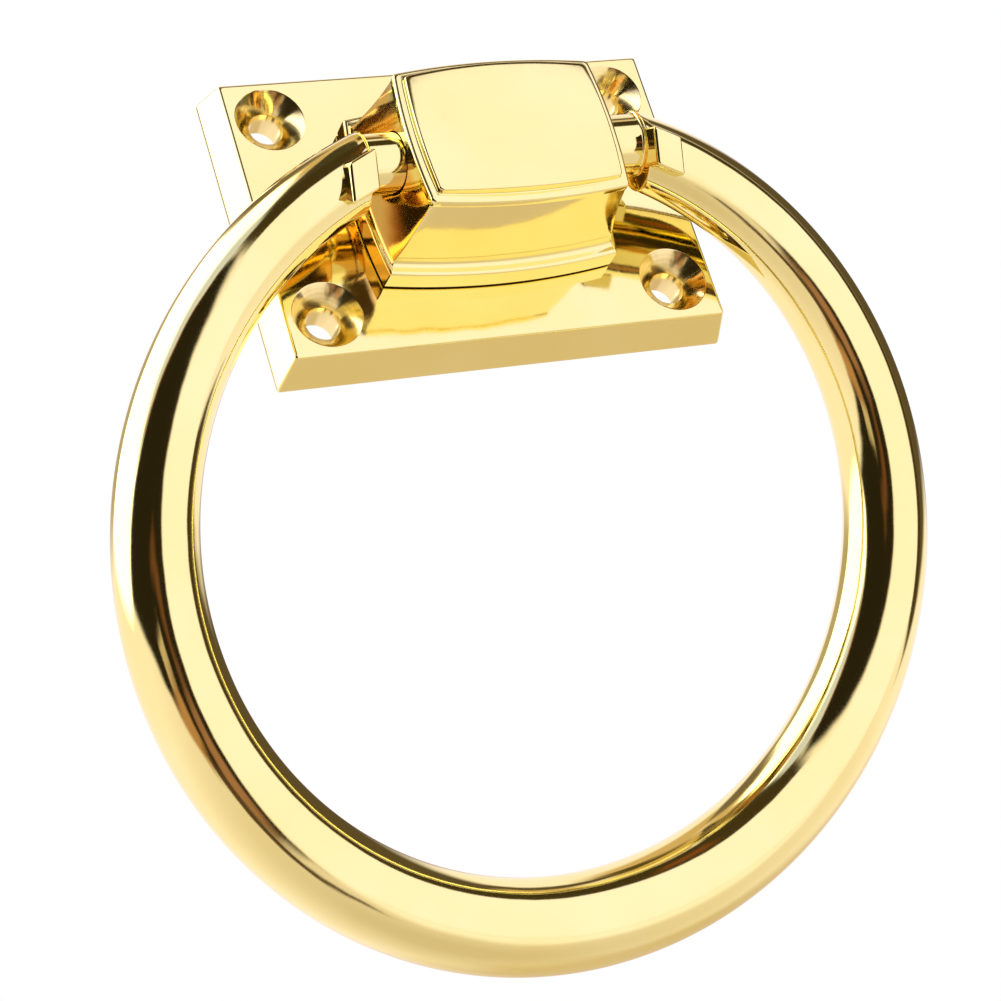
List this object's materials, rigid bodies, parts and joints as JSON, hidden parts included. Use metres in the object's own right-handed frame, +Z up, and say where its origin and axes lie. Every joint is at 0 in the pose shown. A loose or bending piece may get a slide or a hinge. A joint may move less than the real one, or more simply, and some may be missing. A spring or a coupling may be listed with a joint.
{
  "type": "ring pull handle",
  "caption": "Polished brass ring pull for a door or drawer: a tapered ring swings from a cushion-shaped pivot block on a rectangular back plate with countersunk screw holes.",
  "frame": {"origin": "centre of the back plate's rear face, which is the centre of the four fixing holes", "axes": "+Z up the door, +X along the pivot to the right as a person facing the handle sees it, -Y out of the door towards that person; the rear face lies on Y = 0"},
  "size_m": [0.1084, 0.0569, 0.1111],
  "materials": {
    "plate_brass": "polished",
    "block_brass": "polished",
    "ring_brass": "polished",
    "screw_brass": "machined"
  },
  "bodies": {
    "base": {"back_plate": "plate_brass", "pivot_block": "block_brass", "block_screw_left": "screw_brass", "block_screw_right": "screw_brass"},
    "ring": {"ring": "ring_brass"}
  },
  "joints": [
    {"name": "ring_swing", "type": "hinge", "parent": "base", "child": "ring", "pos_m": [0, -0.0168, 0], "axis": [-1, 0, 0], "range_deg": [-18, 252]}
  ]
}
